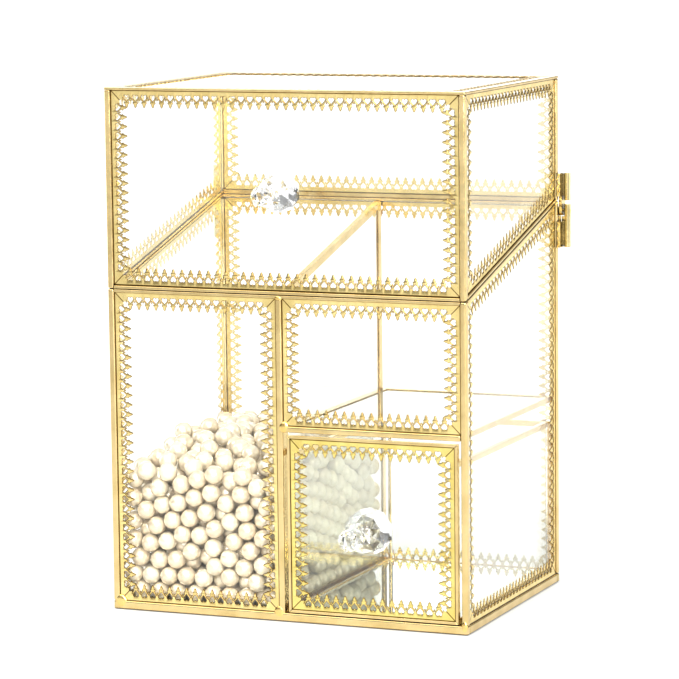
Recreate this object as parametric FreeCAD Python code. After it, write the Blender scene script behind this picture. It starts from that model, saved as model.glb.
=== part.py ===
import FreeCAD, Part
import math
import os

# Glass jewelry box in a brass strip frame, in millimetres.
# X runs to the right, Y runs from the front to the rear, Z runs up.
# The origin is the middle of the rectangle the box stands on.

Vector = FreeCAD.Vector

# Overall size of the framed box, without knobs and hinges
WIDTH = 199.0
DEPTH = 144.5
HEIGHT = 275.0
SPLIT_FRONT_Z = 169.8          # height of the base's rim at the front face
SPLIT_REAR_Z = 208.0           # height of the base's rim at the rear face
LID_GAP = 0.4                  # daylight between the closed lid and the base's rim

# Frame sections
BAR = 3.4                      # square corner bars and posts
RIM_BAR = 1.6                  # height of the thin bars along the split
TOP_BAR = 1.4                  # height of the thin bars round the lid's top
BOTTOM_BAR = 4.6               # height of the bars the box stands on
LINTEL_BOTTOM = 99.2           # bar above the drawer
LINTEL_TOP = 102.4
MID_POST_RIGHT = -1.2          # right side of the post between the two compartments
MID_POST_LEFT = MID_POST_RIGHT - BAR

# Glass and lace trim
GLASS = 2.0
PANE_RECESS = 1.4              # glass face behind the bars' outer face
LACE_THICKNESS = 0.5
LACE_WIDTH = 9.3               # from a pane's edge to the tips of the trim

# Divider and shelf
CHANNEL_DEPTH = 4.0            # how far an edge channel reaches over the glass
CHANNEL_WALL = 0.5
DIVIDER_X = 0.5 * (MID_POST_LEFT + MID_POST_RIGHT)
SHELF_Z = 101.2                # middle of the shelf's glass
SHELF_LEFT = -1.0
SHELF_RIGHT = 95.9

# Drawer
DRAWER_SIDE_GAP = 1.9
DRAWER_LEFT = MID_POST_RIGHT + DRAWER_SIDE_GAP
DRAWER_RIGHT = 0.5 * WIDTH - BAR - DRAWER_SIDE_GAP
DRAWER_BOTTOM = BOTTOM_BAR + 0.3
DRAWER_FRONT_TOP = 97.6
DRAWER_WALL_TOP = 88.6
DRAWER_REAR = 68.5
DRAWER_RIM = 1.6               # width of the frame round the drawer's front
DRAWER_FRAME_FACE = 0.5        # drawer frame's face behind the posts' outer face
DRAWER_BAR = 3.0               # square bars along the drawer's other edges

# Crystal knobs: greatest diameter and length
LID_KNOB = (21.0, 33.0)
DRAWER_KNOB = (24.0, 37.0)
KNOB_SIDES = 12
KNOB_PROFILE = (               # (share of length, share of radius) from base to tip
    (0.00, 0.86),
    (0.05, 1.00),
    (0.22, 1.00),
    (0.42, 0.78),
    (0.54, 0.44),
    (0.63, 0.50),
    (0.78, 0.60),
    (0.92, 0.50),
    (1.00, 0.30),
)

# Stop hinges at the two rear corners
PIN_Y = 74.6
PIN_Z = 202.8
PIN_RADIUS = 0.8
PIN_CLEARANCE = 0.05
PIN_HEAD = 0.6
BARREL_RADIUS = 1.9
BARREL_X = 103.9               # distance of the upright barrels from the middle
ARM_INNER = 0.3                # arm's inner face outside the posts' side face
ARM_THICKNESS = 1.7
ARM_KNUCKLE = 2.9
UPPER_BARREL_BOTTOM = 208.2
UPPER_BARREL_TOP = 223.0
LOWER_BARREL_BOTTOM = 183.0
LOWER_BARREL_TOP = 206.2
LEAF_TOP_Z = 197.0
OPEN_ANGLE = 100.0             # the arm's rear edge then rests on the stop tongue
STOP_GAP = 0.1

# Pearls in the left compartment, as one heap
PEARL_GAP = 0.3
HEAP_TOP = ((-1.0, 77.0), (-0.15, 92.0), (1.0, 88.0))   # (share of half depth, height)

HALF_W = 0.5 * WIDTH
HALF_D = 0.5 * DEPTH
INNER_W = HALF_W - BAR
INNER_D = HALF_D - BAR
SLOPE = (SPLIT_REAR_Z - SPLIT_FRONT_Z) / DEPTH
LACE_RECESS = PANE_RECESS - LACE_THICKNESS


def save(name, *solids):
    """Writes one node: a single solid, or a group of separate solids."""
    shape = solids[0] if len(solids) == 1 else Part.makeCompound(list(solids))
    shape.exportStep("parts/" + name + ".step")


def box(low, high):
    size = [b - a for a, b in zip(low, high)]
    return Part.makeBox(size[0], size[1], size[2], Vector(*low))


def prism(points, thickness):
    """A plate from a closed outline of points, thickened along a vector."""
    outline = Part.makePolygon([Vector(*p) for p in points + points[:1]])
    return Part.Face(outline).extrude(Vector(*thickness))


def yz_plate(outline, x0, x1):
    return prism([(x0, y, z) for y, z in outline], (x1 - x0, 0, 0))


def xz_plate(outline, y0, y1):
    return prism([(x, y0, z) for x, z in outline], (0, y1 - y0, 0))


def cylinder_x(x0, x1, y, z, radius):
    return Part.makeCylinder(radius, x1 - x0, Vector(x0, y, z), Vector(1, 0, 0))


def rim_z(y):
    """Height of the base's sloping rim at depth y."""
    return SPLIT_FRONT_Z + SLOPE * (y + HALF_D)


def lid_z(y):
    """Height of the lid's lowest edge at depth y."""
    return rim_z(y) + LID_GAP


def inset(outline, distance):
    """The outline moved inwards, for an outline that runs anticlockwise."""
    count = len(outline)
    lines = []
    for i in range(count):
        (ax, ay), (bx, by) = outline[i], outline[(i + 1) % count]
        length = math.hypot(bx - ax, by - ay)
        nx, ny = -(by - ay) / length, (bx - ax) / length
        lines.append((nx, ny, nx * ax + ny * ay + distance))
    corners = []
    for i in range(count):
        (a, b, c), (d, e, f) = lines[i - 1], lines[i]
        det = a * e - b * d
        corners.append(((c * e - b * f) / det, (a * f - c * d) / det))
    return corners


def mitred_strips(outline, width):
    """One trapezium for each side of a pane, mitred at the corners."""
    inner = inset(outline, width)
    count = len(outline)
    strips = []
    for i in range(count):
        j = (i + 1) % count
        strips.append([outline[i], outline[j], inner[j], inner[i]])
    return strips


def rectangle(a0, a1, b0, b1):
    return [(a0, b0), (a1, b0), (a1, b1), (a0, b1)]


def side_outline(y0, y1, bottom, top):
    """Outline of a side pane in Y and Z; bottom and top are functions of y."""
    return [(y0, bottom(y0)), (y1, bottom(y1)), (y1, top(y1)), (y0, top(y0))]


def save_front_pane(glass_name, lace_name, outline):
    face = -HALF_D + PANE_RECESS
    save(glass_name, xz_plate(outline, face, face + GLASS))
    strips = mitred_strips(outline, LACE_WIDTH)
    save(lace_name, *[xz_plate(s, face - LACE_THICKNESS, face) for s in strips])


def save_rear_pane(glass_name, lace_name, outline):
    face = HALF_D - PANE_RECESS
    save(glass_name, xz_plate(outline, face - GLASS, face))
    strips = mitred_strips(outline, LACE_WIDTH)
    save(lace_name, *[xz_plate(s, face, face + LACE_THICKNESS) for s in strips])


def save_side_pane(glass_name, lace_name, outline, side):
    """side is -1 for the left face and +1 for the right face."""
    outer = side * (HALF_W - PANE_RECESS)
    save(glass_name, yz_plate(outline, outer - side * GLASS, outer))
    strips = mitred_strips(outline, LACE_WIDTH)
    save(lace_name, *[yz_plate(s, outer, outer + side * LACE_THICKNESS) for s in strips])


def sloped_bar(y0, y1, x0, x1, lower, upper):
    return yz_plate(side_outline(y0, y1, lower, upper), x0, x1)


def corner_post(side, rear, bottom, top):
    """An upright bar in a corner; bottom and top are functions of y."""
    x0 = -HALF_W if side < 0 else INNER_W
    y0 = INNER_D if rear else -HALF_D
    return sloped_bar(y0, y0 + BAR, x0, x0 + BAR, bottom, top)


def frame_ring(lower, upper):
    """Front, rear, left and right bars round the box between two heights."""
    return [
        sloped_bar(-HALF_D, -INNER_D, -INNER_W, INNER_W, lower, upper),
        sloped_bar(INNER_D, HALF_D, -INNER_W, INNER_W, lower, upper),
        sloped_bar(-INNER_D, INNER_D, -HALF_W, -INNER_W, lower, upper),
        sloped_bar(-INNER_D, INNER_D, INNER_W, HALF_W, lower, upper),
    ]


def full_ring(z0, z1):
    """Bars round the box whose front and rear ones run the full width."""
    return [
        box((-HALF_W, -HALF_D, z0), (HALF_W, -INNER_D, z1)),
        box((-HALF_W, INNER_D, z0), (HALF_W, HALF_D, z1)),
        box((-HALF_W, -INNER_D, z0), (-INNER_W, INNER_D, z1)),
        box((INNER_W, -INNER_D, z0), (HALF_W, INNER_D, z1)),
    ]


# ---------------------------------------------------------------- base: frame

def base_frame():
    def floor_top(y):
        return BOTTOM_BAR

    def below_rim(y):
        return rim_z(y) - RIM_BAR

    save("base_bottom_bars", *full_ring(0.0, BOTTOM_BAR))
    save("base_rim_bars", *frame_ring(below_rim, rim_z))
    save("base_post_front_left", corner_post(-1, False, floor_top, rim_z))
    save("base_post_front_right", corner_post(1, False, floor_top, rim_z))
    save("base_post_rear_left", corner_post(-1, True, floor_top, rim_z))
    save("base_post_rear_right", corner_post(1, True, floor_top, rim_z))
    middle = sloped_bar(-HALF_D, -INNER_D, MID_POST_LEFT, MID_POST_RIGHT, floor_top, below_rim)
    save("base_post_middle", middle)
    lintel_low = (MID_POST_RIGHT, -HALF_D, LINTEL_BOTTOM)
    save("drawer_lintel", box(lintel_low, (INNER_W, -INNER_D, LINTEL_TOP)))


# ---------------------------------------------------------------- base: glass

def base_glass():
    front_top = rim_z(-HALF_D + LACE_RECESS) - RIM_BAR
    rear_top = rim_z(INNER_D) - RIM_BAR
    mirror_bottom = BOTTOM_BAR - GLASS
    floor_low = (-INNER_W, -INNER_D, mirror_bottom)
    save("base_floor_mirror", box(floor_low, (INNER_W, INNER_D, BOTTOM_BAR)))
    backing_low = (-INNER_W, -INNER_D, 0.0)
    save("base_backing_board", box(backing_low, (INNER_W, INNER_D, mirror_bottom)))

    left = rectangle(-INNER_W, MID_POST_LEFT, BOTTOM_BAR, front_top)
    save_front_pane("glass_front_left", "lace_front_left", left)
    upper = rectangle(MID_POST_RIGHT, INNER_W, LINTEL_TOP, front_top)
    save_front_pane("glass_front_upper", "lace_front_upper", upper)
    rear = rectangle(-INNER_W, INNER_W, BOTTOM_BAR, rear_top)
    save_rear_pane("glass_rear", "lace_rear", rear)

    side = side_outline(-INNER_D, INNER_D, lambda y: BOTTOM_BAR, lambda y: rim_z(y) - RIM_BAR)
    save_side_pane("glass_left", "lace_left", side, -1)
    save_side_pane("glass_right", "lace_right", side, 1)


def divider():
    """Upright glass between the compartments, in plain edge channels."""
    half = 0.5 * GLASS
    x0, x1 = DIVIDER_X - half, DIVIDER_X + half
    outer = side_outline(
        -INNER_D, INNER_D, lambda y: BOTTOM_BAR, lambda y: rim_z(y) - 0.6
    )
    pane = yz_plate(inset(outer, CHANNEL_WALL), x0, x1)
    save("divider_glass", pane)
    cw = CHANNEL_WALL
    bars = [yz_plate(s, x0 - cw, x1 + cw) for s in mitred_strips(outer, CHANNEL_DEPTH)]
    save("divider_channels", *[bar.cut(pane) for bar in bars])


def shelf():
    """Glass floor of the upper right compartment, in plain edge channels."""
    half = 0.5 * GLASS
    z0, z1 = SHELF_Z - half, SHELF_Z + half
    cw = CHANNEL_WALL
    edge = DRAWER_REAR
    outer = rectangle(SHELF_LEFT, SHELF_RIGHT, -edge, edge)
    pane_outline = inset(outer, CHANNEL_WALL)
    pane = prism([(x, y, z0) for x, y in pane_outline], (0, 0, z1 - z0))
    save("shelf_glass", pane)
    bars = []
    for strip in mitred_strips(outer, CHANNEL_DEPTH):
        bar = prism([(x, y, z0 - cw) for x, y in strip], (0, 0, GLASS + 2 * cw))
        bars.append(bar.cut(pane))
    save("shelf_channels", *bars)


def pearl_heap():
    """The outer form of the heap of loose pearls."""
    outline = [(-INNER_D + PEARL_GAP, BOTTOM_BAR), (INNER_D - PEARL_GAP, BOTTOM_BAR)]
    for share, height in reversed(HEAP_TOP):
        outline.append((share * (INNER_D - PEARL_GAP), height))
    x0 = -INNER_W + PEARL_GAP
    x1 = DIVIDER_X - 0.5 * GLASS - CHANNEL_WALL - PEARL_GAP
    save("pearl_fill", yz_plate(outline, x0, x1))


# ---------------------------------------------------------------- lid

def lid_frame():
    def under_top(y):
        return HEIGHT - TOP_BAR

    def above_rim(y):
        return lid_z(y) + RIM_BAR

    save("lid_top_bars", *full_ring(HEIGHT - TOP_BAR, HEIGHT))
    save("lid_rim_bars", *frame_ring(lid_z, above_rim))
    save("lid_post_front_left", corner_post(-1, False, lid_z, under_top))
    save("lid_post_front_right", corner_post(1, False, lid_z, under_top))
    save("lid_post_rear_left", corner_post(-1, True, lid_z, under_top))
    save("lid_post_rear_right", corner_post(1, True, lid_z, under_top))


def lid_glass():
    top = HEIGHT - TOP_BAR
    front_bottom = lid_z(-INNER_D) + RIM_BAR
    rear_bottom = lid_z(HALF_D - LACE_RECESS) + RIM_BAR
    front = rectangle(-INNER_W, INNER_W, front_bottom, top)
    knob_centre = (0.0, 0.5 * (front_bottom + top))
    save_front_pane("lid_glass_front", "lid_lace_front", front)
    rear = rectangle(-INNER_W, INNER_W, rear_bottom, top)
    save_rear_pane("lid_glass_rear", "lid_lace_rear", rear)

    side = side_outline(-INNER_D, INNER_D, lambda y: lid_z(y) + RIM_BAR, lambda y: top)
    save_side_pane("lid_glass_left", "lid_lace_left", side, -1)
    save_side_pane("lid_glass_right", "lid_lace_right", side, 1)

    face = HEIGHT - LACE_THICKNESS - 0.1
    outline = rectangle(-INNER_W, INNER_W, -INNER_D, INNER_D)
    pane = prism([(x, y, face - GLASS) for x, y in outline], (0, 0, GLASS))
    save("lid_glass_top", pane)
    strips = []
    for strip in mitred_strips(outline, LACE_WIDTH):
        strips.append(prism([(x, y, face) for x, y in strip], (0, 0, LACE_THICKNESS)))
    save("lid_lace_top", *strips)
    return knob_centre


# ---------------------------------------------------------------- drawer

def drawer():
    face = -HALF_D + DRAWER_FRAME_FACE
    back = -INNER_D
    outer = rectangle(DRAWER_LEFT, DRAWER_RIGHT, DRAWER_BOTTOM, DRAWER_FRONT_TOP)
    bars = [xz_plate(s, face, back) for s in mitred_strips(outer, DRAWER_RIM)]
    save("drawer_front_frame", *bars)
    opening = inset(outer, DRAWER_RIM)
    xs = [p[0] for p in opening]
    zs = [p[1] for p in opening]
    knob_centre = (0.5 * (min(xs) + max(xs)), 0.5 * (min(zs) + max(zs)))
    save_front_pane("drawer_glass_front", "drawer_lace_front", opening)

    b = DRAWER_BAR
    left, right = DRAWER_LEFT + 0.3, DRAWER_RIGHT - 0.3
    bottom, top = DRAWER_BOTTOM, DRAWER_WALL_TOP
    rear = DRAWER_REAR
    edges = [
        box((left, rear - b, bottom), (left + b, rear, top)),
        box((right - b, rear - b, bottom), (right, rear, top)),
    ]
    for z in (bottom, top - b):
        edges.append(box((left, back, z), (left + b, rear - b, z + b)))
        edges.append(box((right - b, back, z), (right, rear - b, z + b)))
        edges.append(box((left + b, rear - b, z), (right - b, rear, z + b)))
    save("drawer_edge_bars", *edges)

    set_in = 0.5 * (b - GLASS)
    z0, z1 = bottom + b, top - b
    wall = left + set_in
    save("drawer_glass_left", box((wall, back, z0), (wall + GLASS, rear - b, z1)))
    wall = right - set_in - GLASS
    save("drawer_glass_right", box((wall, back, z0), (wall + GLASS, rear - b, z1)))
    wall = rear - set_in - GLASS
    save("drawer_glass_rear", box((left + b, wall, z0), (right - b, wall + GLASS, z1)))
    z0 = bottom + set_in
    floor_high = (right - b, rear - b, z0 + GLASS)
    save("drawer_floor_mirror", box((left + b, back, z0), floor_high))
    return knob_centre


# ---------------------------------------------------------------- crystal knobs

def knob_rings(centre_x, centre_z, base_y, size):
    """Rings of corners from the base to the tip, each turned half a facet."""
    diameter, length = size
    rings = []
    for index, (along, share) in enumerate(KNOB_PROFILE):
        y = base_y - along * length
        radius = 0.5 * diameter * share
        ring = []
        for k in range(KNOB_SIDES):
            angle = 2 * math.pi * (k + 0.5 * (index % 2)) / KNOB_SIDES
            x = centre_x + radius * math.cos(angle)
            ring.append(Vector(x, y, centre_z + radius * math.sin(angle)))
        rings.append(ring)
    return rings


def triangle(a, b, c):
    return Part.Face(Part.makePolygon([a, b, c, a]))


def crystal_knob(centre, base_y, size):
    """A cut crystal knob: broad facets at the base, a waist and a small faceted head."""
    rings = knob_rings(centre[0], centre[1], base_y, size)
    faces = [Part.Face(Part.makePolygon(ring + ring[:1])) for ring in (rings[0], rings[-1])]
    for index in range(len(rings) - 1):
        low, high = rings[index], rings[index + 1]
        for k in range(KNOB_SIDES):
            after = (k + 1) % KNOB_SIDES
            if index % 2:
                faces.append(triangle(low[k], high[k], high[after]))
                faces.append(triangle(low[k], high[after], low[after]))
            else:
                faces.append(triangle(low[k], high[k], low[after]))
                faces.append(triangle(low[after], high[k], high[after]))
    solid = Part.makeSolid(Part.makeShell(faces))
    if solid.Volume < 0:
        solid.reverse()
    return solid


def save_knob(name, centre, size):
    """The knob is bonded to the outer face of its pane."""
    save(name, crystal_knob(centre, -HALF_D + PANE_RECESS, size))


# ---------------------------------------------------------------- hinges

def turn(dy, dz, degrees):
    """A point beside the pin after the lid has opened by an angle."""
    angle = math.radians(degrees)
    y = dy * math.cos(angle) + dz * math.sin(angle)
    z = -dy * math.sin(angle) + dz * math.cos(angle)
    return y, z


def barrel(z0, z1):
    return Part.makeCylinder(BARREL_RADIUS, z1 - z0, Vector(BARREL_X, PIN_Y, z0))


def upper_leaf():
    """The lid's leaf: an arm that drops to the pin, with an upright barrel."""
    x0 = HALF_W + ARM_INNER
    x1 = x0 + ARM_THICKNESS
    k = ARM_KNUCKLE
    top = UPPER_BARREL_TOP
    low = UPPER_BARREL_BOTTOM + 2.4
    arm = yz_plate([
        (PIN_Y - k, PIN_Z), (PIN_Y + k, PIN_Z), (PIN_Y + k, top - 3.0), (PIN_Y, top),
        (INNER_D, top), (INNER_D, low), (PIN_Y - k, low),
    ], x0, x1)
    arm = arm.fuse(cylinder_x(x0, x1, PIN_Y, PIN_Z, k))
    pad = box((HALF_W, INNER_D, low), (x0, HALF_D, top))
    web = box((x1, PIN_Y - 0.9, low), (BARREL_X, PIN_Y + 0.9, top - 0.6))
    leaf = arm.fuse(pad).fuse(web).fuse(barrel(UPPER_BARREL_BOTTOM, top))
    hole = cylinder_x(x0 - 1, x1 + 1, PIN_Y, PIN_Z, PIN_RADIUS + PIN_CLEARANCE)
    return leaf.cut(hole).removeSplitter()


def lower_leaf():
    """The base's leaf: plate on the post, upright barrel, pin ear and stop tongue."""
    x0 = HALF_W
    x1 = x0 + ARM_INNER + ARM_THICKNESS
    bottom, top = LOWER_BARREL_BOTTOM, LEAF_TOP_Z
    tongue = []
    for reach in (ARM_KNUCKLE + 0.4, 8.0):
        dy, dz = turn(ARM_KNUCKLE + STOP_GAP, reach, OPEN_ANGLE)
        tongue.append((PIN_Y + dy, PIN_Z + dz))
    plate = yz_plate([
        (INNER_D, bottom), (PIN_Y + ARM_KNUCKLE, bottom), (tongue[1][0], top - 4.0),
        tongue[1], tongue[0], (tongue[0][0], top), (INNER_D, top),
    ], x0, x1)
    web = box((x1, PIN_Y - 0.9, bottom + 1.0), (BARREL_X, PIN_Y + 0.9, top))
    leaf = plate.fuse(web).fuse(barrel(bottom, LOWER_BARREL_TOP))
    ear_x0 = HALF_W - 2.2
    ear = box((ear_x0, HALF_D, top - 6.0), (HALF_W, PIN_Y + 2.0, PIN_Z))
    ear = ear.fuse(cylinder_x(ear_x0, HALF_W, PIN_Y, PIN_Z, 2.0))
    leaf = leaf.fuse(ear)
    hole = cylinder_x(ear_x0 - 1, BARREL_X + 5, PIN_Y, PIN_Z, PIN_RADIUS)
    return leaf.cut(hole).removeSplitter()


def hinge_pin():
    start = HALF_W - 2.2 - PIN_HEAD
    end = BARREL_X + BARREL_RADIUS
    pin = cylinder_x(HALF_W - 2.2, end, PIN_Y, PIN_Z, PIN_RADIUS)
    return pin.fuse(cylinder_x(start, HALF_W - 2.2, PIN_Y, PIN_Z, 1.5))


def hinges():
    pieces = {"leaf_upper": upper_leaf(), "leaf_lower": lower_leaf(), "pin": hinge_pin()}
    for name, solid in pieces.items():
        save("hinge_" + name + "_right", solid)
        save("hinge_" + name + "_left", solid.mirror(Vector(0, 0, 0), Vector(1, 0, 0)))


os.makedirs("parts", exist_ok=True)
base_frame()
base_glass()
divider()
shelf()
pearl_heap()
lid_frame()
save_knob("lid_knob", lid_glass(), LID_KNOB)
save_knob("drawer_knob", drawer(), DRAWER_KNOB)
hinges()
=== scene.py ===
import math
import random

import bmesh
import bpy
import numpy as np
from mathutils import Matrix, Vector
from mathutils.geometry import convex_hull_2d, tessellate_polygon


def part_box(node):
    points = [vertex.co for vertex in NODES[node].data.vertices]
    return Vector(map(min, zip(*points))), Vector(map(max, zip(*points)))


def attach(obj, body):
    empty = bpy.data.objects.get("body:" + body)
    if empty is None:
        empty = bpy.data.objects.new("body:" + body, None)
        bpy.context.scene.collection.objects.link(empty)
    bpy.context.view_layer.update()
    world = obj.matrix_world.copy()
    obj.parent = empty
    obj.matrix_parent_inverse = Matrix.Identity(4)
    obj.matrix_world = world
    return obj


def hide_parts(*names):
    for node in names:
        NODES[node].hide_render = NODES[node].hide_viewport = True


MM = 0.001
WHITE = (1.0, 1.0, 1.0)

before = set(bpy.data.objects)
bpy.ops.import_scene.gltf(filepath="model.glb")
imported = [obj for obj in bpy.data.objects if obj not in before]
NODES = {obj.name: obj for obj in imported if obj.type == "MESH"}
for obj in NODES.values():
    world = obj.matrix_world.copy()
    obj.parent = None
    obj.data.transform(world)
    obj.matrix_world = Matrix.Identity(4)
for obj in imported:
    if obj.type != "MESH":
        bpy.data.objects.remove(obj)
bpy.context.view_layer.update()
BASE_LOW, BASE_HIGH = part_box("base_bottom_bars")


# ---------------------------------------------------------------- node helpers

def new_material(name):
    """A node material with only an output, and its tree."""
    material = bpy.data.materials.new(name)
    material.use_nodes = True
    tree = material.node_tree
    tree.nodes.clear()
    output = tree.nodes.new("ShaderNodeOutputMaterial")
    return material, tree, output


def principled(tree, **values):
    """A Principled shader with these sockets set; underscores stand for spaces."""
    shader = tree.nodes.new("ShaderNodeBsdfPrincipled")
    for key, value in values.items():
        shader.inputs[key.replace("_", " ")].default_value = value
    return shader


def noise(tree, vector, scale, detail=3.0, roughness=0.5):
    """Noise from 0 to 1, with scale in lumps per metre."""
    node = tree.nodes.new("ShaderNodeTexNoise")
    node.inputs["Scale"].default_value = scale
    node.inputs["Detail"].default_value = detail
    node.inputs["Roughness"].default_value = roughness
    tree.links.new(vector, node.inputs["Vector"])
    return node.outputs["Fac"]


def object_coordinates(tree, stretch=(1.0, 1.0, 1.0)):
    """The point in the object's own metres, scaled on each axis by stretch."""
    coordinates = tree.nodes.new("ShaderNodeTexCoord")
    mapping = tree.nodes.new("ShaderNodeMapping")
    mapping.inputs["Scale"].default_value = stretch
    tree.links.new(coordinates.outputs["Object"], mapping.inputs["Vector"])
    return mapping.outputs["Vector"]


def attribute(tree, name):
    """The number that the mesh keeps at each vertex under this name."""
    node = tree.nodes.new("ShaderNodeAttribute")
    node.attribute_name = name
    return node.outputs["Fac"]


def ramp(tree, factor, stops):
    """A colour ramp through (position, colour) stops."""
    node = tree.nodes.new("ShaderNodeValToRGB")
    elements = node.color_ramp.elements
    while len(elements) < len(stops):
        elements.new(0.5)
    for element, (position, colour) in zip(elements, stops):
        element.position = position
        element.color = (*colour, 1.0)
    tree.links.new(factor, node.inputs["Fac"])
    return node.outputs["Color"]


def map_range(tree, value, low, high):
    """0 to 1 mapped to low to high."""
    node = tree.nodes.new("ShaderNodeMapRange")
    node.inputs["To Min"].default_value = low
    node.inputs["To Max"].default_value = high
    tree.links.new(value, node.inputs["Value"])
    return node.outputs["Result"]


def calculate(tree, operation, *values):
    """One sum on these values, each a socket or a number."""
    node = tree.nodes.new("ShaderNodeMath")
    node.operation = operation
    for value, socket in zip(values, node.inputs):
        if isinstance(value, bpy.types.NodeSocket):
            tree.links.new(value, socket)
        else:
            socket.default_value = value
    return node.outputs["Value"]


def multiply_colour(tree, first, second, share=None):
    """first times second, in full or by the share socket."""
    node = tree.nodes.new("ShaderNodeMix")
    node.data_type = "RGBA"
    node.blend_type = "MULTIPLY"
    node.inputs["Factor"].default_value = 1.0
    if share is not None:
        tree.links.new(share, node.inputs["Factor"])
    tree.links.new(first, node.inputs["A"])
    tree.links.new(second, node.inputs["B"])
    return node.outputs["Result"]


def bump(tree, height, strength, distance):
    """A normal tilted by the height socket."""
    node = tree.nodes.new("ShaderNodeBump")
    node.inputs["Strength"].default_value = strength
    node.inputs["Distance"].default_value = distance
    tree.links.new(height, node.inputs["Height"])
    return node.outputs["Normal"]


# ---------------------------------------------------------------- materials

# Painted shade darkens seams this narrow, and only this near the box's outer faces.
SEAM_REACH = 1.5 * MM
SHELL_DEPTH = 1.45 * MM
SEAM_SHADE = (0.08, 0.05, 0.02)
# Painted shade darkens the lace where it meets the bar, and along the edges of its holes and finials.
FLANGE_SHADE = (0.20, 0.14, 0.06)
OUTLINE_SHADE = (0.20, 0.13, 0.05)


def on_shell(tree):
    """1 where the bars stand proud of the panes and 0 deeper inside; only there is the seam shade painted."""
    coordinates = tree.nodes.new("ShaderNodeTexCoord")
    apart = tree.nodes.new("ShaderNodeSeparateXYZ")
    tree.links.new(coordinates.outputs["Object"], apart.inputs["Vector"])
    depths = []
    for axis, name in enumerate("XY"):
        distance = calculate(tree, "ABSOLUTE", apart.outputs[name])
        depths.append(calculate(tree, "SUBTRACT", distance, BASE_HIGH[axis] - SHELL_DEPTH))
    return calculate(tree, "GREATER_THAN", calculate(tree, "MAXIMUM", *depths), 0.0)


def paint_seam_shade(tree, colour):
    """Paints shade into the seams between neighbouring bars, from ambient occlusion, on the outer faces only.
    """
    occlusion = tree.nodes.new("ShaderNodeAmbientOcclusion")
    occlusion.samples = 6
    occlusion.inputs["Distance"].default_value = SEAM_REACH
    # painted shade: ambient occlusion darkens the colour in seams, standing in for the shadow there
    shade = ramp(tree, occlusion.outputs["AO"], [(0.42, SEAM_SHADE), (0.80, WHITE)])
    return multiply_colour(tree, colour, shade, on_shell(tree))


def paint_lace_shade(tree, colour):
    """Paints shade on the lace beside the bar and round its pierced edges, by what lace_piece stores."""
    # painted shade beside the bar, and painted outlines of shade round the holes and finials
    shade = ramp(tree, attribute(tree, "inward"), [(0.28, FLANGE_SHADE), (0.55, WHITE)])
    outline = ramp(tree, attribute(tree, "rim"), [(0.08, WHITE), (0.50, OUTLINE_SHADE)])
    return multiply_colour(tree, multiply_colour(tree, colour, shade), outline)


def gold(name, bright, dark, roughness, painted_shade=None, ripple=0.25):
    """Polished brass: two close tones, faint smears in the gloss, a rippled face and, if given, painted
    shade.
    """
    material, tree, output = new_material(name)
    where = object_coordinates(tree)
    colour = ramp(tree, noise(tree, where, 90, 4), [(0.35, dark), (0.62, bright)])
    if painted_shade is not None:
        colour = painted_shade(tree, colour)
    shader = principled(tree, Metallic=1.0)
    tree.links.new(colour, shader.inputs["Base Color"])
    smear = noise(tree, where, 260, 5, 0.6)
    gloss = map_range(tree, smear, roughness * 0.6, roughness * 1.5)
    tree.links.new(gloss, shader.inputs["Roughness"])
    wave = noise(tree, where, 130, 2)
    tree.links.new(bump(tree, wave, ripple, 0.6 * MM), shader.inputs["Normal"])
    tree.links.new(shader.outputs["BSDF"], output.inputs["Surface"])
    return material


def glass(name, tint, ior=1.45):
    """Clear glass that lets lamps through, so what stands inside is lit."""
    material, tree, output = new_material(name)
    base = (*tint, 1.0)
    shader = principled(tree, Base_Color=base, Roughness=0.0, IOR=ior, Transmission_Weight=1.0)
    drift = noise(tree, object_coordinates(tree), 9, 2)
    tree.links.new(bump(tree, drift, 0.05, 1.0 * MM), shader.inputs["Normal"])
    clear = tree.nodes.new("ShaderNodeBsdfTransparent")
    clear.inputs["Color"].default_value = base
    path = tree.nodes.new("ShaderNodeLightPath")
    mix = tree.nodes.new("ShaderNodeMixShader")
    tree.links.new(path.outputs["Is Shadow Ray"], mix.inputs["Fac"])
    tree.links.new(shader.outputs["BSDF"], mix.inputs[1])
    tree.links.new(clear.outputs["BSDF"], mix.inputs[2])
    tree.links.new(mix.outputs["Shader"], output.inputs["Surface"])
    return material


def mirror(name):
    """Silvered glass with a faint green cast and a few soft wipe marks."""
    material, tree, output = new_material(name)
    cloud = noise(tree, object_coordinates(tree), 25, 3)
    cast = ramp(tree, cloud, [(0.35, (0.80, 0.84, 0.81)), (0.7, (0.88, 0.91, 0.89))])
    shader = principled(tree, Metallic=1.0)
    tree.links.new(cast, shader.inputs["Base Color"])
    wipe = noise(tree, object_coordinates(tree, (1.0, 0.25, 1.0)), 120, 4)
    tree.links.new(map_range(tree, wipe, 0.01, 0.07), shader.inputs["Roughness"])
    tree.links.new(shader.outputs["BSDF"], output.inputs["Surface"])
    return material


def felt(name):
    """Pale pressed felt."""
    material, tree, output = new_material(name)
    fibre = noise(tree, object_coordinates(tree), 2500, 6, 0.7)
    colour = ramp(tree, fibre, [(0.3, (0.55, 0.53, 0.47)), (0.7, (0.80, 0.78, 0.72))])
    shader = principled(tree, Roughness=0.95, Sheen_Weight=0.5)
    tree.links.new(colour, shader.inputs["Base Color"])
    tree.links.new(bump(tree, fibre, 0.5, 0.3 * MM), shader.inputs["Normal"])
    tree.links.new(shader.outputs["BSDF"], output.inputs["Surface"])
    return material


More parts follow.
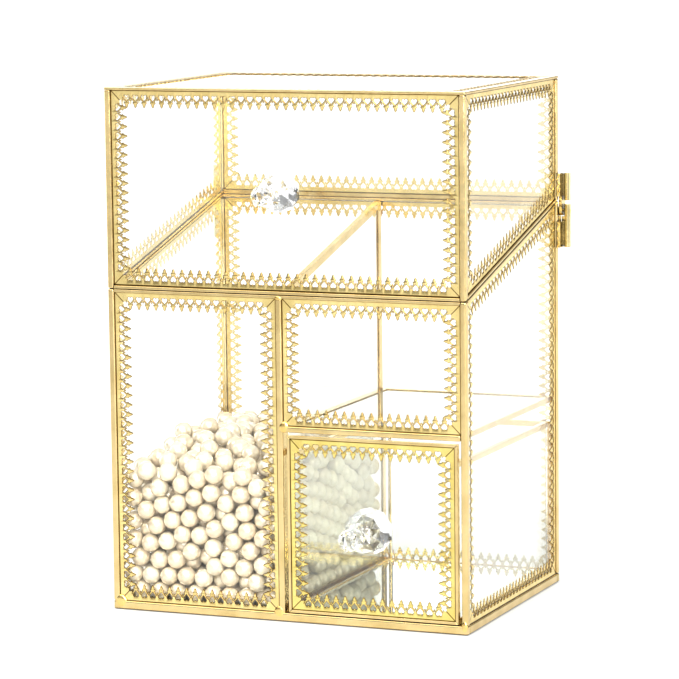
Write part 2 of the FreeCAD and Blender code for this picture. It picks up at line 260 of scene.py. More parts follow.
def pearl(name):
    """Cream pearl: a satin body under a clear, glossy skin. Each pearl has its own tone."""
    material, tree, output = new_material(name)
    cloud = noise(tree, object_coordinates(tree), 180, 3)
    tones = [(0.0, (0.65, 0.59, 0.50)), (0.5, (0.71, 0.66, 0.58)), (1.0, (0.77, 0.74, 0.67))]
    body = ramp(tree, attribute(tree, "tone"), tones)
    veil = ramp(tree, cloud, [(0.35, (0.90, 0.88, 0.85)), (0.65, WHITE)])
    shader = principled(
        tree,
        Metallic=0.35,
        Roughness=0.24,
        Specular_IOR_Level=1.0,
        Subsurface_Weight=0.12,
        Subsurface_Radius=(1.0, 0.8, 0.6),
        Subsurface_Scale=1.5 * MM,
        Coat_Weight=1.0,
        Coat_Roughness=0.04,
        Coat_IOR=2.0,
        Coat_Tint=(1.0, 0.95, 0.84, 1.0),
    )
    tree.links.new(multiply_colour(tree, body, veil), shader.inputs["Base Color"])
    skin = noise(tree, object_coordinates(tree), 900, 3)
    tree.links.new(bump(tree, skin, 0.06, 0.2 * MM), shader.inputs["Normal"])
    tree.links.new(shader.outputs["BSDF"], output.inputs["Surface"])
    return material


FINISH = {
    # The bars and hinges get painted seam shade; the lace gets painted shade beside the bars and round its
    # holes.
    "bars": gold(
        "polished_brass", (0.78, 0.62, 0.33), (0.68, 0.53, 0.26), 0.12, paint_seam_shade),
    "lace": gold(
        "stamped_brass", (0.90, 0.74, 0.36), (0.81, 0.64, 0.28), 0.20, paint_lace_shade, ripple=0.35),
    "drawer_lace": gold(
        "stamped_brass_drawer", (0.86, 0.73, 0.29), (0.78, 0.63, 0.22), 0.20, paint_lace_shade, ripple=0.35),
    "solder": gold(
        "brass_solder", (0.86, 0.67, 0.29), (0.74, 0.53, 0.20), 0.22, ripple=0.5),
    "hinge": gold(
        "hinge_brass_polished", (0.90, 0.78, 0.47), (0.80, 0.67, 0.36), 0.07, paint_seam_shade, ripple=0.1),
    "glass": glass("clear_glass_pane", (0.995, 1.0, 0.996)),
    "inner_glass": glass("clear_glass_inner", (0.975, 0.985, 0.96)),
    "crystal": glass("cut_crystal", (0.985, 0.99, 0.995), ior=1.54),
    "mirror": mirror("silvered_mirror"),
    "felt": felt("backing_felt_pressed"),
    "pearl": pearl("pearl_coat"),
}


# ---------------------------------------------------------------- mesh helpers

def finish_piece(name, mesh, body, material, nodes=(), smooth_angle=None):
    """Makes the piece, gives it its material and body, and lets it stand for the CAD nodes."""
    piece = bpy.data.objects.new(name, mesh)
    bpy.context.scene.collection.objects.link(piece)
    mesh.materials.clear()
    mesh.materials.append(FINISH[material])
    if smooth_angle is not None:
        mesh.shade_smooth()
        mesh.set_sharp_from_angle(angle=math.radians(smooth_angle))
    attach(piece, body)
    if nodes:
        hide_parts(*nodes)
    return piece


def mesh_from(shape, name):
    """The bmesh as a new mesh; the bmesh is freed."""
    mesh = bpy.data.meshes.new(name)
    shape.to_mesh(mesh)
    shape.free()
    return mesh


# ---------------------------------------------------------------- bars

# The bars stand this far inside their CAD faces, so that they share no face with a pane.
BAR_GAP = 0.05 * MM
# Edges that turn by more than this many degrees are rolled over.
ROLLED_ANGLE = 20
ROLL_PROFILE = 0.6
# A bar whose nearest point lies behind this share of the base's half depth is a rear bar.
REAR_SHARE = 0.8


def solids_of(node):
    """The CAD node's closed solids, each as a welded bmesh. Its triangles come solid by solid."""
    mesh = NODES[node].data
    mesh.calc_loop_triangles()
    found, faces, open_edges = [], [], set()
    for triangle in mesh.loop_triangles:
        corners = [tuple(round(c, 7) for c in mesh.vertices[v].co) for v in triangle.vertices]
        faces.append(corners)
        for a, b in ((0, 1), (1, 2), (2, 0)):
            edge = (corners[a], corners[b])
            if edge[::-1] in open_edges:
                open_edges.remove(edge[::-1])
            else:
                open_edges.add(edge)
        if not open_edges:
            found.append(faces)
            faces = []
    solids = []
    for faces in found:
        solid = bmesh.new()
        known = {}
        for corners in faces:
            for corner in corners:
                if corner not in known:
                    known[corner] = solid.verts.new(corner)
            solid.faces.new([known[c] for c in corners])
        limit = math.radians(1)
        bmesh.ops.dissolve_limit(solid, angle_limit=limit, verts=solid.verts, edges=solid.edges)
        solids.append(solid)
    return solids


def level_top(solid):
    """Raises a bar's sloping upper face until it is level."""
    top = max(v.co.z for v in solid.verts)
    middle = sum(v.co.z for v in solid.verts) / len(solid.verts)
    for vert in solid.verts:
        if vert.co.z > middle:
            vert.co.z = top


def rounded_bars(node, body, radius, material="bars", segments=4, level_rear=False):
    """The CAD node's bars with their long edges rolled over, as drawn brass strip has them."""
    mesh = bpy.data.meshes.new(node + "_rolled")
    whole = bmesh.new()
    for solid in solids_of(node):
        if level_rear and min(v.co.y for v in solid.verts) > REAR_SHARE * BASE_HIGH[1]:
            level_top(solid)
        solid.normal_update()
        for vert in solid.verts:
            vert.co -= vert.normal * BAR_GAP
        limit = math.radians(ROLLED_ANGLE)
        sharp = [e for e in solid.edges if len(e.link_faces) == 2 and e.calc_face_angle() > limit]
        bmesh.ops.bevel(
            solid, geom=sharp, offset=radius, segments=segments, profile=ROLL_PROFILE,
            affect="EDGES", clamp_overlap=True,
        )
        solid.to_mesh(mesh)
        whole.from_mesh(mesh)
        solid.free()
    for face in whole.faces:
        face.smooth = True
    whole.to_mesh(mesh)
    whole.free()
    piece = finish_piece(node + "_rolled", mesh, body, material, [node])
    weighted = piece.modifiers.new("weighted", "WEIGHTED_NORMAL")
    weighted.keep_sharp = True


# ---------------------------------------------------------------- lace

PITCH = 5.0 * MM
LACE_THICKNESS = 0.40 * MM
LACE_LIFT = 0.05 * MM
LACE_CHAMFER = 0.29 * MM
# The chamfer begins at this share of the thickness.
CHAMFER_START = 0.7
# The plain flange at each end of a strip is this deep, with a strip of painted shade this wide on the mitre.
END_LIP = 5.0 * MM
MITRE_SHADE_STRIP = 0.45 * MM
# The first motif starts where the mitre has come this far in from the pane's edge.
MITRE_DEPTH = 6.6 * MM
LACE_WELD = 2e-6
LACE_SMOOTH_ANGLE = 28

# Half of one motif's rim, in mm, from the bud between motifs up to the finial's tip: (along, inward).
HALF_RIM = [
    (-2.50, 5.62), (-2.26, 5.50), (-2.10, 5.20), (-2.16, 4.92), (-2.02, 4.66), (-1.82, 4.78),
    (-1.66, 5.12), (-1.50, 5.50), (-1.14, 5.78), (-1.06, 6.00), (-1.34, 6.16), (-1.56, 6.50),
    (-1.44, 6.90), (-1.04, 7.14), (-0.80, 7.48), (-0.80, 7.90), (-0.60, 8.44), (-0.30, 8.94),
    (0.0, 9.28),
]
# Half of its heart-shaped hole, from the point to the dip.
HALF_HEART = [
    (0.0, 5.62), (-0.52, 5.02), (-1.12, 4.44), (-1.60, 3.78), (-1.66, 3.14), (-1.30, 2.58),
    (-0.66, 2.44), (-0.18, 2.66), (0.0, 2.92),
]
# Half of the small diamond hole between two motifs, on their joint.
DIAMOND = [(-2.50, 3.58), (-2.14, 3.98), (-2.50, 4.38)]


def mirrored(half):
    """A half line, given from the left, with its mirror image after it."""
    return half + [(-x, y) for x, y in reversed(half) if x != 0.0]


def motif(pitch):
    """One motif's outline from joint to joint and its heart hole, in metres."""
    stretch = pitch / PITCH * MM
    left = [(-2.5, 0.0)] + DIAMOND + HALF_RIM
    ring = [(x * stretch, y * MM) for x, y in mirrored(left)][::-1]
    heart = [(x * stretch, y * MM) for x, y in HALF_HEART]
    hole = heart + [(-x, y) for x, y in reversed(heart[1:-1])]
    return ring, hole


def on_joint(point, pitch):
    """True for a point on the line between two motifs."""
    return abs(abs(point[0]) - pitch / 2) < 1e-7


def is_open(a, b, pitch):
    """True for an edge that joins the next motif."""
    return on_joint(a, pitch) and on_joint(b, pitch) and a[0] * b[0] > 0


def chamfered(ring, pitch, amount):
    """The ring moved to its left by amount; points on a joint stay on it and the foot stays put."""
    sharpest = 0.55
    moved = []
    count = len(ring)
    for i, point in enumerate(ring):
        normals = []
        for a, b in ((ring[i - 1], point), (point, ring[(i + 1) % count])):
            if not is_open(a, b, pitch):
                along = (Vector(b) - Vector(a)).normalized()
                normals.append(Vector((-along.y, along.x)))
        if point[1] == 0.0:
            moved.append(point)
        elif on_joint(point, pitch):
            moved.append((point[0], point[1] + math.copysign(amount, sum(n.y for n in normals))))
        else:
            total = sum(normals, Vector((0, 0)))
            shift = total.normalized() * (amount / max(sharpest, total.length / 2))
            moved.append((point[0] + shift.x, point[1] + shift.y))
    return moved


def lace_unit(pitch):
    """One motif's vertices (along, inward, up, rim) and faces. Its joints have no walls.

    rim is 1 where the chamfer begins and 0 on the flat faces; the painted shade outlines the pierced edges by
    it.
    """
    ring, hole = motif(pitch)
    hole_ring = hole if Vector(hole[1]).cross(Vector(hole[2])) < 0 else hole[::-1]
    narrow = [chamfered(line, pitch, LACE_CHAMFER) for line in (ring, hole_ring)]
    levels = [(0.0, 0.0, ring, hole_ring), (CHAMFER_START, 1.0, ring, hole_ring), (1.0, 0.0, *narrow)]
    verts, faces, loops = [], [], []
    for up, rim, outline, inner in levels:
        start = len(verts)
        middle = start + len(outline)
        verts += [(x, y, up, rim) for x, y in (*outline, *inner)]
        loops.append((list(range(start, middle)), list(range(middle, len(verts)))))
    for below, above in zip(loops, loops[1:]):
        for low, high in zip(below, above):
            for i in range(len(low)):
                j = (i + 1) % len(low)
                if not is_open(verts[low[i]], verts[low[j]], pitch):
                    faces.append((low[i], low[j], high[j], high[i]))
    for outline, inner in (loops[0], loops[-1]):
        index = outline + inner
        polygons = [[Vector((*verts[i][:2], 0)) for i in line] for line in (outline, inner)]
        for triangle in tessellate_polygon(polygons):
            faces.append(tuple(index[i] for i in triangle))
    return verts, faces


def lace_end(slope, length):
    """The mitred flange between a corner and the first motif, with a strip of painted shade on the mitre."""
    strip, lip = MITRE_SHADE_STRIP, END_LIP
    far = slope * lip
    outline = [(0.0, 0.0), (strip, 0.0), (length, 0.0), (length, lip), (far + strip, lip), (far, lip)]
    # 1 marks the strip of painted shade on the mitre
    outline_shades = [1.0, 0.0, 0.0, 0.0, 0.0, 1.0]
    verts = [(x, y, up, rim) for up in (0.0, 1.0) for (x, y), rim in zip(outline, outline_shades)]
    faces = [(5, 4, 1, 0), (4, 3, 2, 1), (6, 7, 10, 11), (7, 8, 9, 10)]
    faces += [(k, (k + 1) % 6, (k + 1) % 6 + 6, k + 6) for k in (0, 1, 3, 4, 5)]
    return verts, faces


def pane_of(lace_node, lowered):
    """The pane's corners counter-clockwise in its own plane, and the map from (point, up) to space.

    The corners on the pane's lower edge are moved down by lowered.
    """
    low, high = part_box(lace_node)
    size = high - low
    axis = min(range(3), key=lambda i: size[i])
    first, second = [i for i in range(3) if i != axis]
    outward = -1.0 if high[axis] < 0 else 1.0
    glass_face = low[axis] if outward > 0 else high[axis]
    points = {(round(v.co[first], 6), round(v.co[second], 6)) for v in NODES[lace_node].data.vertices}
    points = [Vector(p) for p in sorted(points)]
    hull = [points[i] for i in convex_hull_2d(points)]
    corners = []
    for i, point in enumerate(hull):
        before, after = point - hull[i - 1], hull[(i + 1) % len(hull)] - point
        if abs(before.normalized().cross(after.normalized())) > 0.02:
            corners.append(point)
    if sum(corners[i - 1].cross(corners[i]) for i in range(len(corners))) < 0:
        corners.reverse()
    middle = sum((c.y for c in corners), 0.0) / len(corners)
    corners = [c - Vector((0, lowered)) if c.y < middle else c for c in corners]

    def place(point, up):
        where = [0.0, 0.0, 0.0]
        where[first], where[second] = point
        where[axis] = glass_face + outward * up
        return tuple(where)

    return corners, place


def lace_piece(lace_node, body, material="lace", lowered=0.0):
    """Pierced brass lace on a pane's edges, in place of the CAD node's plain strips."""
    corners, place = pane_of(lace_node, lowered)
    whole = bmesh.new()
    inward_layer = whole.verts.layers.float.new("inward")
    outline_shade_layer = whole.verts.layers.float.new("rim")
    count = len(corners)
    for i, corner in enumerate(corners):
        target = corners[(i + 1) % count]
        before, after = corners[i - 1], corners[(i + 2) % count]
        along = (target - corner).normalized()
        inward = Vector((-along.y, along.x))
        length = (target - corner).length
        slopes = []
        for here, there, forward in ((corner, before, along), (target, after, -along)):
            slopes.append(1.0 / math.tan(forward.angle(there - here) / 2))
        starts = [slope * MITRE_DEPTH for slope in slopes]
        room = length - sum(starts)
        units = max(1, round(room / PITCH))
        pitch = room / units

        def lay(verts, faces, origin, way):
            placed = []
            for x, y, up, rim in verts:
                point = corner + along * (origin + way * x) + inward * y
                vert = whole.verts.new(place(point, LACE_LIFT + up * LACE_THICKNESS))
                # inward and rim are kept for the painted shade beside the bar and round the pierced edges
                vert[inward_layer] = y / MM
                vert[outline_shade_layer] = rim
                placed.append(vert)
            for face in faces:
                whole.faces.new([placed[k] for k in face])

        unit = lace_unit(pitch)
        for k in range(units):
            lay(*unit, starts[0] + (k + 0.5) * pitch, 1.0)
        lay(*lace_end(slopes[0], starts[0]), 0.0, 1.0)
        lay(*lace_end(slopes[1], starts[1]), length, -1.0)
    bmesh.ops.remove_doubles(whole, verts=whole.verts, dist=LACE_WELD)
    bmesh.ops.recalc_face_normals(whole, faces=whole.faces)
    name = lace_node + "_pierced"
    mesh = mesh_from(whole, name)
    finish_piece(name, mesh, body, material, [lace_node], LACE_SMOOTH_ANGLE)


# ---------------------------------------------------------------- pearls

PEARL_RADIUS = 5.0 * MM
# The share of the heap's room that the balls fill.
PACKING = 0.615
# The balls sink a little in each of the first steps, and are pushed apart in all of them.
SHAKES = 700
SINKING_SHAKES = 560
SINK = 0.012 * PEARL_RADIUS
# Which balls are near each other, within this reach, is found again after so many steps.
NEIGHBOUR_REACH = 2.7 * PEARL_RADIUS
NEIGHBOUR_STEPS = 8
# Each ball of a touching pair gives way by this share of their overlap.
GIVE = 0.42
# The CAD heap's vertices that are higher than this above its foot draw its top line.
TOP_LINE = 20 * MM
PEARL_PIECES = 3


def settled_pearls(low, high, top_across, top_height, seed):
    """Random balls pushed apart and shaken down until they rest in the box under the top line."""
    chance = np.random.default_rng(seed)
    floor, reach = low + PEARL_RADIUS, high - PEARL_RADIUS
    across = np.linspace(low[1], high[1], 200)
    depth = np.interp(across, top_across, top_height) - low[2]
    volume = (high[0] - low[0]) * (high[1] - low[1]) * float(depth.mean())
    count = int(PACKING * volume / (4 / 3 * math.pi * PEARL_RADIUS**3))
    balls = floor + chance.random((count, 3)) * (reach - floor)

    def ceiling(points):
        return np.interp(points[:, 1], top_across, top_height) - PEARL_RADIUS

    balls[:, 2] = floor[2] + chance.random(count) * (ceiling(balls) - floor[2])
    for step in range(SHAKES):
        if step % NEIGHBOUR_STEPS == 0:
            gap = balls[:, None, :] - balls[None, :, :]
            near = np.einsum("ijk,ijk->ij", gap, gap) < NEIGHBOUR_REACH**2
            pairs = np.argwhere(np.triu(near, 1))
        if step < SINKING_SHAKES:
            balls[:, 2] -= SINK
        first, second = pairs[:, 0], pairs[:, 1]
        gap = balls[first] - balls[second]
        distance = np.maximum(np.linalg.norm(gap, axis=1), 1e-9)
        overlap = np.maximum(2 * PEARL_RADIUS - distance, 0.0)
        push = gap / distance[:, None] * (overlap * GIVE)[:, None]
        for axis in range(3):
            balls[:, axis] += np.bincount(first, push[:, axis], count)
            balls[:, axis] -= np.bincount(second, push[:, axis], count)
        balls[:, 0] = np.clip(balls[:, 0], floor[0], reach[0])
        balls[:, 1] = np.clip(balls[:, 1], floor[1], reach[1])
        balls[:, 2] = np.clip(balls[:, 2], floor[2], ceiling(balls))
    return balls


def top_line(node, foot):
    """The heap's height over y, from the CAD heap's upper vertices."""
    top = {}
    for vert in NODES[node].data.vertices:
        if vert.co[2] > foot + TOP_LINE:
            across, height = round(vert.co[1], 6), round(vert.co[2], 6)
            top[across] = max(height, top.get(across, 0.0))
    return np.array(sorted(top)), np.array([top[a] for a in sorted(top)])


def pearl_pieces(node, body):
    """The heap of loose pearls as a few pieces, from the bottom layer up."""
    low, high = (np.array(corner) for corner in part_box(node))
    centres = settled_pearls(low, high, *top_line(node, low[2]), seed=7)
    ball = bmesh.new()
    bmesh.ops.create_icosphere(ball, subdivisions=3, radius=PEARL_RADIUS)
    shape = np.array([v.co for v in ball.verts])
    faces = np.array([[v.index for v in f.verts] for f in ball.faces])
    ball.free()
    chance = random.Random(11)
    order = sorted(range(len(centres)), key=lambda i: centres[i][2])
    for part in range(PEARL_PIECES):
        chosen = order[part * len(order) // PEARL_PIECES:(part + 1) * len(order) // PEARL_PIECES]
        verts, polys, tones = [], [], []
        for i in chosen:
            angle = chance.uniform(0, math.pi)
            turn = Matrix.Rotation(angle, 3, Vector([chance.gauss(0, 1) for _ in range(3)]))
            polys.append(faces + len(verts) * len(shape))
            verts.append(shape @ np.array(turn).T + centres[i])
            tones += [chance.random()] * len(shape)
        verts, polys = np.concatenate(verts), np.concatenate(polys)
        name = f"pearls_{part + 1}"
        mesh = bpy.data.meshes.new(name)
        mesh.from_pydata(verts.tolist(), [], polys.tolist())
        mesh.attributes.new("tone", "FLOAT", "POINT").data.foreach_set("value", tones)
        mesh.shade_smooth()
        finish_piece(name, mesh, body, "pearl", [node] if part == 0 else [])


# ---------------------------------------------------------------- knobs

KNOB_SIDES = 10
# The knob's rings of corners, from the glass to the tip: (share of its length, share of its radius).
KNOB_RINGS = [
    (0.00, 0.86), (0.06, 1.00), (0.20, 1.00), (0.36, 0.84), (0.48, 0.56),
    (0.56, 0.40), (0.64, 0.44), (0.76, 0.52), (0.90, 0.46), (1.00, 0.26),
]
# The clear bond between the knob and its pane.
BOND = 0.15 * MM


def crystal_knob(node, body):
    """A cut knob on the CAD knob's axis: staggered rings of flat facets."""
    low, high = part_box(node)
    centre = (low + high) / 2
    radius = (high[0] - low[0]) / 2
    root, tip = high[1] - BOND, low[1]
    length = root - tip
    knob = bmesh.new()
    loops = []
    for row, (share, width) in enumerate(KNOB_RINGS):
        shift = 0.5 * (row % 2)
        loop = []
        for k in range(KNOB_SIDES):
            angle = 2 * math.pi * (k + shift) / KNOB_SIDES
            x = centre[0] + radius * width * math.cos(angle)
            z = centre[2] + radius * width * math.sin(angle)
            loop.append(knob.verts.new((x, root - length * share, z)))
        loops.append(loop)
    for row, (first, second) in enumerate(zip(loops, loops[1:])):
        for k in range(KNOB_SIDES):
            j = (k + 1) % KNOB_SIDES
            if row % 2 == 0:
                knob.faces.new((first[k], first[j], second[k]))
                knob.faces.new((first[j], second[j], second[k]))
            else:
                knob.faces.new((first[k], second[j], second[k]))
                knob.faces.new((first[k], first[j], second[j]))
    knob.faces.new(loops[0])
    knob.faces.new(loops[-1])
    bmesh.ops.recalc_face_normals(knob, faces=knob.faces)
    name = node + "_cut"
    finish_piece(name, mesh_from(knob, name), body, "crystal", [node])


# ---------------------------------------------------------------- solder

# Half widths in mm of the drops of solder on the base's feet.
WIDE_FOOT = (3.3, 0.9, 3.6)
NARROW_FOOT = (1.65, 0.9, 3.4)
LUMPS = 6
LUMP_HEIGHT = 0.10
SHRINK = 0.12
LOWEST = 0.02 * MM


def solder_blob(name, centre, size, seed):
    """A drop of solder that has run over a joint: a lumpy, flattened bead, with half widths in mm."""
    chance = random.Random(seed)
    bead = bmesh.new()
    bmesh.ops.create_icosphere(bead, subdivisions=4, radius=1.0)
    lumps = [Vector([chance.gauss(0, 1) for _ in range(3)]).normalized() for _ in range(LUMPS)]
    for vert in bead.verts:
        raised = sum(LUMP_HEIGHT * max(0.0, vert.co.dot(lump)) ** 3 for lump in lumps)
        swell = 1.0 + raised - SHRINK
        vert.co = Vector((vert.co[k] * size[k] * swell * MM + centre[k] for k in range(3)))
        vert.co.z = max(vert.co.z, LOWEST)
    mesh = mesh_from(bead, name)
    mesh.shade_smooth()
    finish_piece(name, mesh, "base", "solder")


def solder_joints():
    """Solder on the base's four feet and on the joints of its middle post."""
    front, rear = BASE_LOW[1] + 0.5 * MM, BASE_HIGH[1] - 0.5 * MM
    foot_height = 4.6 * MM
    left, right = BASE_LOW[0] + 3.8 * MM, BASE_HIGH[0] - 3.8 * MM
    narrow_right = BASE_HIGH[0] - 1.9 * MM
    solder_blob("solder_foot_front_left", (left, front, foot_height), WIDE_FOOT, 3)
    solder_blob("solder_foot_front_right", (narrow_right, front, foot_height), NARROW_FOOT, 3)
    solder_blob("solder_foot_rear_left", (left, rear, foot_height), WIDE_FOOT, 5)
    solder_blob("solder_foot_rear_right", (right, rear, foot_height), WIDE_FOOT, 5)
    post_low, post_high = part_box("base_post_middle")
    lintel_low, lintel_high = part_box("drawer_lintel")
    foot = (post_high[0] - 3.3 * MM, front, post_low[2] + 0.4 * MM)
    solder_blob("solder_post_foot", foot, (3.1, 0.9, 3.4), 8)
    head = ((post_low[0] + post_high[0]) / 2, front, post_high[2] - 0.6 * MM)
    solder_blob("solder_post_top", head, (2.4, 0.8, 1.3), 9)
    joint = (post_high[0] + 0.5 * MM, front, (lintel_low[2] + lintel_high[2]) / 2 + 1.0 * MM)
    solder_blob("solder_lintel_joint", joint, (2.9, 0.9, 3.2), 12)


# ---------------------------------------------------------------- the box

# How far the edges of the wide bars, thin bars, channels, drawer bars and hinges are rolled over.
ROLL = 0.90 * MM
THIN_ROLL = 0.40 * MM
CHANNEL_ROLL = 0.12 * MM
DRAWER_ROLL = 0.2 * MM
HINGE_ROLL = 0.25 * MM
THIN_BARS = ("base_rim_bars", "lid_rim_bars", "lid_top_bars")

# The finish of each CAD material, for the nodes that keep their CAD shape.
SURFACES = {
    "clear_glass": "glass",
    "hinge_brass": "hinge",
    "mirror": "mirror",
    "crystal": "crystal",
    "backing_felt": "felt",
    "gold_frame": "bars",
    "gold_lace": "lace",
    "pearl": "pearl",
}
INNER_GLASS = (
    "divider_glass", "shelf_glass", "drawer_glass_left", "drawer_glass_right", "drawer_glass_rear",
)


def brass_bars():
    """Every bar, channel and hinge piece, with rolled edges."""
    for node in (
        "base_bottom_bars", "base_rim_bars", "base_post_front_left", "base_post_front_right",
        "base_post_middle", "base_post_rear_left", "base_post_rear_right", "drawer_lintel",
    ):
        rounded_bars(node, "base", THIN_ROLL if node in THIN_BARS else ROLL)
    for node in ("divider_channels", "shelf_channels"):
        rounded_bars(node, "base", CHANNEL_ROLL, segments=2)
    for node in (
        "lid_top_bars", "lid_rim_bars", "lid_post_front_left", "lid_post_front_right",
        "lid_post_rear_left", "lid_post_rear_right",
    ):
        roll = THIN_ROLL if node in THIN_BARS else ROLL
        rounded_bars(node, "lid", roll, level_rear=node == "lid_rim_bars")
    for node in ("drawer_front_frame", "drawer_edge_bars"):
        rounded_bars(node, "drawer", DRAWER_ROLL, segments=2)
    hinge_parts = (("hinge_leaf_lower_", "base"), ("hinge_pin_", "base"), ("hinge_leaf_upper_", "lid"))
    for side in ("left", "right"):
        for part, body in hinge_parts:
            rounded_bars(part + side, body, HINGE_ROLL, "hinge", segments=2)


def lace_trim():
    """The pierced lace of every pane."""
    for node in ("lace_front_left", "lace_front_upper", "lace_left", "lace_rear", "lace_right"):
        lace_piece(node, "base")
    for node in ("lid_lace_left", "lid_lace_rear", "lid_lace_right", "lid_lace_top"):
        lace_piece(node, "lid")
    # The front rim bar's top slopes down to the front, so this lace reaches lower than its pane.
    lace_piece("lid_lace_front", "lid", lowered=0.5 * MM)
    lace_piece("drawer_lace_front", "drawer", "drawer_lace")


def dress_cad_nodes():
    """Gives each CAD node its finish. The divider, the shelf and the drawer have the tinted glass."""
    for name, node in NODES.items():
        slot_name = node.data.materials[0].name.split(".")[0]
        chosen = "inner_glass" if name in INNER_GLASS else SURFACES[slot_name]
        node.data.materials[0] = FINISH[chosen]


brass_bars()
lace_trim()
pearl_pieces("pearl_fill", "base")
crystal_knob("lid_knob", "lid")
crystal_knob("drawer_knob", "drawer")
solder_joints()
dress_cad_nodes()


# ---------------------------------------------------------------- studio

FLOOR_SIZE = 14.0
FLOOR_DROP = 0.2 * MM
# The paper's painted glow, which stands in for a backlight, and its painted shade are given along y, from the
# first of these to the second, in metres.
GLOW_SPAN = (-4.0, 1.0)
# Painted glow: the paper's emission strength along the span.
PAINTED_GLOW = [(0.0, 0.45), (0.2, 0.40), (0.44, 0.10), (0.60, 0.0), (0.74, 0.12), (0.98, 0.45)]
# Painted shade: the paper is greyer before the box.
PAPER_PAINTED_SHADE = [(0.44, WHITE), (0.60, (0.8, 0.8, 0.8)), (0.74, WHITE)]

WORLD_LIGHT = 0.50
# Lighter and darker zones: (azimuth, elevation, full within, gone beyond, gain), all in degrees but the gain.
WORLD_ZONES = [
    (0, 88, 25, 75, 0.90),
    (202, 8, 14, 34, 1.60),
    (-22, 48, 14, 32, 2.40),
    (-62, 8, 12, 34, -0.40),
    (60, 6, 8, 24, -0.40),
    (140, 10, 4, 14, -0.40),
]

LAMP_DISTANCE = 1.7
LAMP_TARGET = (0, 0, 0.12)
# Softboxes: (name, azimuth, elevation, (width, height), watts).
LAMPS = [
    ("front_left", 9, 21, (0.55, 0.85), 12.0),
    ("front_right", 36, 21, (0.55, 0.85), 12.0),
    ("side_left", -88, 16, (0.25, 1.2), 6.0),
    ("side_right", 104, 16, (0.25, 1.2), 6.0),
    ("above", 22, 58, (1.2, 0.20), 6.0),
]

CAMERA_AZIMUTH = 22.40
CAMERA_ELEVATION = 7.64
CAMERA_ROLL = -0.65
CAMERA_LENS = 180.9
CAMERA_PLACE = (0.6855, -1.6603, 0.3790)


def direction(azimuth, elevation):
    """The unit vector towards this azimuth from the front and elevation, in degrees."""
    a, e = math.radians(azimuth), math.radians(elevation)
    return Vector((math.sin(a) * math.cos(e), -math.cos(a) * math.cos(e), math.sin(e)))


def make_floor():
    """White paper with a painted glow in place of a backlight, and painted shade that makes it dimmer before
    the box than behind it.
    """
    grid = bmesh.new()
    bmesh.ops.create_grid(grid, x_segments=8, y_segments=8, size=FLOOR_SIZE)
    mesh = mesh_from(grid, "studio_floor")
    floor = bpy.data.objects.new("studio_floor", mesh)
    bpy.context.scene.collection.objects.link(floor)
    floor.location.z = -FLOOR_DROP
    material, tree, output = new_material("studio_paper")
    where = object_coordinates(tree)
    paper = [(0.3, (0.655, 0.655, 0.65)), (0.7, (0.665, 0.665, 0.66))]
    colour = ramp(tree, noise(tree, where, 3, 2), paper)
    apart = tree.nodes.new("ShaderNodeSeparateXYZ")
    tree.links.new(where, apart.inputs["Vector"])
    reach = tree.nodes.new("ShaderNodeMapRange")
    reach.inputs["From Min"].default_value, reach.inputs["From Max"].default_value = GLOW_SPAN
    tree.links.new(apart.outputs["Y"], reach.inputs["Value"])
    # the paper glows as painted light, and is greyed before the box as painted shade
    glow = ramp(tree, reach.outputs["Result"], [(at, (share, share, share)) for at, share in PAINTED_GLOW])
    paper_shade = ramp(tree, reach.outputs["Result"], PAPER_PAINTED_SHADE)
    shader = principled(tree, Roughness=0.8, Emission_Color=(*WHITE, 1.0))
    tree.links.new(multiply_colour(tree, colour, paper_shade), shader.inputs["Base Color"])
    tree.links.new(glow, shader.inputs["Emission Strength"])
    tree.links.new(shader.outputs["BSDF"], output.inputs["Surface"])
    mesh.materials.append(material)


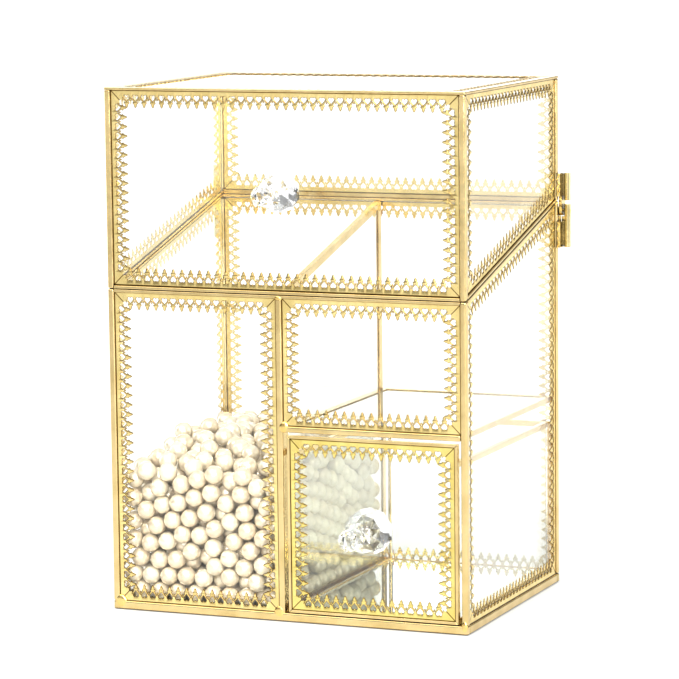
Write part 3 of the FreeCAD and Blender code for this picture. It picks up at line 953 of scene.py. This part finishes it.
def make_world():
    """White surroundings with soft lighter and darker zones, as softboxes and the room give."""
    world = bpy.data.worlds.new("studio")
    bpy.context.scene.world = world
    world.use_nodes = True
    tree = world.node_tree
    tree.nodes.clear()
    output = tree.nodes.new("ShaderNodeOutputWorld")
    background = tree.nodes.new("ShaderNodeBackground")
    coordinates = tree.nodes.new("ShaderNodeTexCoord")
    total = WORLD_LIGHT
    for azimuth, elevation, inner, outer, gain in WORLD_ZONES:
        dot = tree.nodes.new("ShaderNodeVectorMath")
        dot.operation = "DOT_PRODUCT"
        dot.inputs[1].default_value = direction(azimuth, elevation)
        tree.links.new(coordinates.outputs["Generated"], dot.inputs[0])
        zone = tree.nodes.new("ShaderNodeMapRange")
        zone.interpolation_type = "SMOOTHSTEP"
        zone.inputs["From Min"].default_value = math.cos(math.radians(outer))
        zone.inputs["From Max"].default_value = math.cos(math.radians(inner))
        zone.inputs["To Min"].default_value = 0.0
        zone.inputs["To Max"].default_value = gain
        tree.links.new(dot.outputs["Value"], zone.inputs["Value"])
        total = calculate(tree, "ADD", zone.outputs["Result"], total)
    tree.links.new(total, background.inputs["Strength"])
    tree.links.new(background.outputs["Background"], output.inputs["Surface"])


def softbox(name, azimuth, elevation, size, watts):
    """A rectangular lamp that faces the box from this direction."""
    data = bpy.data.lights.new(name, "AREA")
    data.shape = "RECTANGLE"
    data.size, data.size_y = size
    data.energy = watts
    lamp = bpy.data.objects.new(name, data)
    bpy.context.scene.collection.objects.link(lamp)
    lamp.location = direction(azimuth, elevation) * LAMP_DISTANCE
    aim = Vector(LAMP_TARGET) - lamp.location
    lamp.rotation_euler = aim.to_track_quat("-Z", "Y").to_euler()


def make_camera():
    """A long lens from the front right, a little above the box and slightly rolled."""
    back = direction(CAMERA_AZIMUTH, CAMERA_ELEVATION)
    right = (-back).cross(Vector((0, 0, 1))).normalized()
    up = right.cross(-back)
    roll = math.radians(CAMERA_ROLL)
    side = right * math.cos(roll) + up * math.sin(roll)
    top = up * math.cos(roll) - right * math.sin(roll)
    data = bpy.data.cameras.new("camera")
    data.lens = CAMERA_LENS
    data.sensor_width = 36.0
    data.clip_end = 100.0
    camera = bpy.data.objects.new("camera", data)
    bpy.context.scene.collection.objects.link(camera)
    turn = Matrix((side, top, back)).transposed()
    camera.matrix_world = Matrix.Translation(CAMERA_PLACE) @ turn.to_4x4()
    bpy.context.scene.camera = camera


make_floor()
make_world()
make_camera()
for lamp_values in LAMPS:
    softbox(*lamp_values)

scene = bpy.context.scene
scene.view_settings.view_transform = "Standard"
scene.view_settings.look = "None"
scene.view_settings.exposure = 0.0
scene.view_settings.gamma = 0.85
scene.cycles.max_bounces = 24
scene.cycles.diffuse_bounces = 5
scene.cycles.glossy_bounces = 10
scene.cycles.transmission_bounces = 24
scene.cycles.transparent_max_bounces = 32
scene.cycles.sample_clamp_indirect = 6.0
